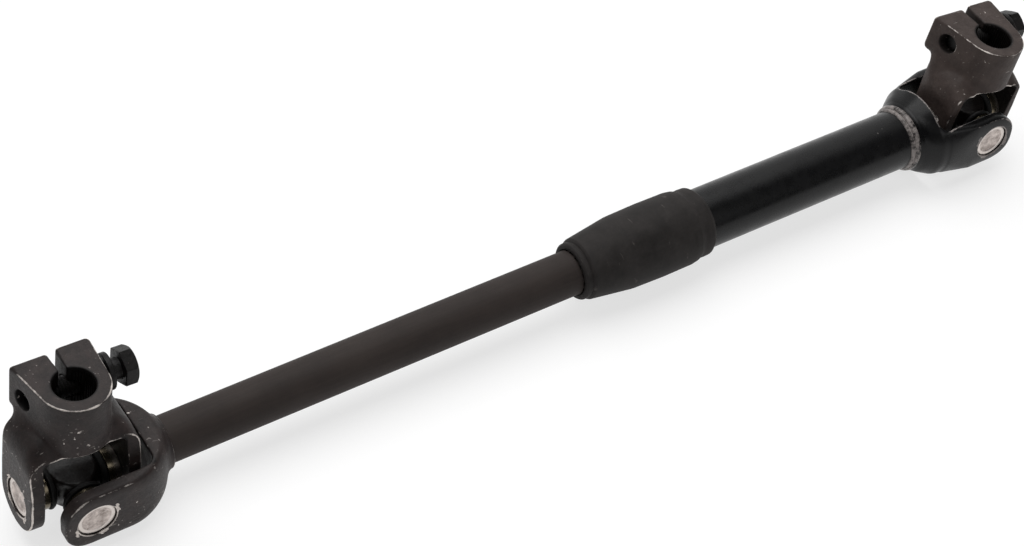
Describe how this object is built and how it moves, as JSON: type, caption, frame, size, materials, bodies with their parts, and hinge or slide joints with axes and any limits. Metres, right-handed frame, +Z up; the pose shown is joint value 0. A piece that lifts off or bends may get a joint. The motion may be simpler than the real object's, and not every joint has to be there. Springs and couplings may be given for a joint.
{
  "type": "steering shaft",
  "caption": "Telescoping steering intermediate shaft: splined shaft in an outer tube with a rubber boot, a universal joint and a split clamp yoke at each end.",
  "frame": {"origin": "middle of the bounding box's base, under the shaft line", "axes": "+X along the shaft line from the lower joint to the upper joint, +Z up, both clamp yokes folded up"},
  "size_m": [0.4656, 0.0432, 0.0683],
  "materials": {
    "phosphated_steel": "matte manganese phosphate",
    "dark_forging": "oil-blackened forging, worn bright on its edges",
    "warm_phosphate": "grey-brown phosphated forging",
    "gloss_black": "semi-gloss black paint",
    "drawn_steel": "dull bright drawn steel",
    "bearing_steel": "ground",
    "cross_steel": "dark forged, ground journals",
    "black_bolt": "black oxide",
    "boot_rubber": "matte moulded rubber",
    "seal_rubber": "matte",
    "bush_plastic": "natural nylon"
  },
  "bodies": {
    "tube": {"outer_tube": "gloss_black", "upper_fork": "gloss_black", "guide_bush": "bush_plastic", "splined_sleeve": "bearing_steel", "boot": "boot_rubber", "upper_cap_fork_front": "drawn_steel", "upper_needles_fork_front": "bearing_steel", "upper_cap_fork_rear": "drawn_steel", "upper_needles_fork_rear": "bearing_steel"},
    "shaft": {"inner_shaft": "phosphated_steel", "lower_fork": "dark_forging", "lower_cap_fork_front": "drawn_steel", "lower_needles_fork_front": "bearing_steel", "lower_cap_fork_rear": "drawn_steel", "lower_needles_fork_rear": "bearing_steel"},
    "lower_cross_body": {"lower_cross": "cross_steel", "lower_seal_fork_front": "seal_rubber", "lower_seal_fork_rear": "seal_rubber", "lower_seal_clamp_left": "seal_rubber", "lower_seal_clamp_right": "seal_rubber"},
    "lower_clamp": {"lower_clamp_yoke": "dark_forging", "lower_cap_clamp_left": "drawn_steel", "lower_needles_clamp_left": "bearing_steel", "lower_cap_clamp_right": "drawn_steel", "lower_needles_clamp_right": "bearing_steel"},
    "lower_bolt": {"lower_pinch_bolt": "black_bolt"},
    "lower_washer": {"lower_lock_washer": "black_bolt"},
    "upper_cross_body": {"upper_cross": "cross_steel", "upper_seal_fork_front": "seal_rubber", "upper_seal_fork_rear": "seal_rubber", "upper_seal_clamp_left": "seal_rubber", "upper_seal_clamp_right": "seal_rubber"},
    "upper_clamp": {"upper_clamp_yoke": "warm_phosphate", "upper_cap_clamp_left": "drawn_steel", "upper_needles_clamp_left": "bearing_steel", "upper_cap_clamp_right": "drawn_steel", "upper_needles_clamp_right": "bearing_steel"},
    "upper_bolt": {"upper_pinch_bolt": "black_bolt"},
    "upper_washer": {"upper_lock_washer": "black_bolt"}
  },
  "joints": [
    {"name": "shaft_slide", "type": "slide", "parent": "tube", "child": "shaft", "axis": [1, 0, 0], "range_m": [-0.018, 0.053]},
    {"name": "lower_fork_trunnion", "type": "hinge", "parent": "shaft", "child": "lower_cross_body", "pos_m": [-0.2108, 0, 0.01859], "axis": [0, 0.9994, 0.0349], "range_deg": [-188, 0]},
    {"name": "lower_clamp_trunnion", "type": "hinge", "parent": "lower_cross_body", "child": "lower_clamp", "pos_m": [-0.2108, 0, 0.01859], "axis": [0.9974, 0.0025, -0.0715], "range_deg": [-9, 10]},
    {"name": "upper_fork_trunnion", "type": "hinge", "parent": "tube", "child": "upper_cross_body", "pos_m": [0.2044, 0, 0.01859], "axis": [0, 0.9994, -0.0349], "range_deg": [-11, 176]},
    {"name": "upper_clamp_trunnion", "type": "hinge", "parent": "upper_cross_body", "child": "upper_clamp", "pos_m": [0.2044, 0, 0.01859], "axis": [0.9912, -0.0046, -0.1322], "range_deg": [-10, 10]},
    {"name": "lower_bolt_travel", "type": "slide", "parent": "lower_clamp", "child": "lower_bolt", "axis": [0.9974, 0.0025, -0.0715], "range_m": [-0.0038, 0.0064]},
    {"name": "lower_washer_float", "type": "slide", "parent": "lower_clamp", "child": "lower_washer", "axis": [0.9974, 0.0025, -0.0715], "range_m": [-0.0011, 0.0015]},
    {"name": "upper_bolt_travel", "type": "slide", "parent": "upper_clamp", "child": "upper_bolt", "axis": [0.9912, -0.0046, -0.1322], "range_m": [0, 0.01]},
    {"name": "upper_washer_float", "type": "slide", "parent": "upper_clamp", "child": "upper_washer", "axis": [0.9912, -0.0046, -0.1322], "range_m": [0, 0.0024]}
  ],
  "couplings": [
    {"joint": "lower_washer_float", "follows": "lower_bolt_travel", "ratio": 0.2292},
    {"joint": "upper_washer_float", "follows": "upper_bolt_travel", "ratio": 0.2292}
  ]
}
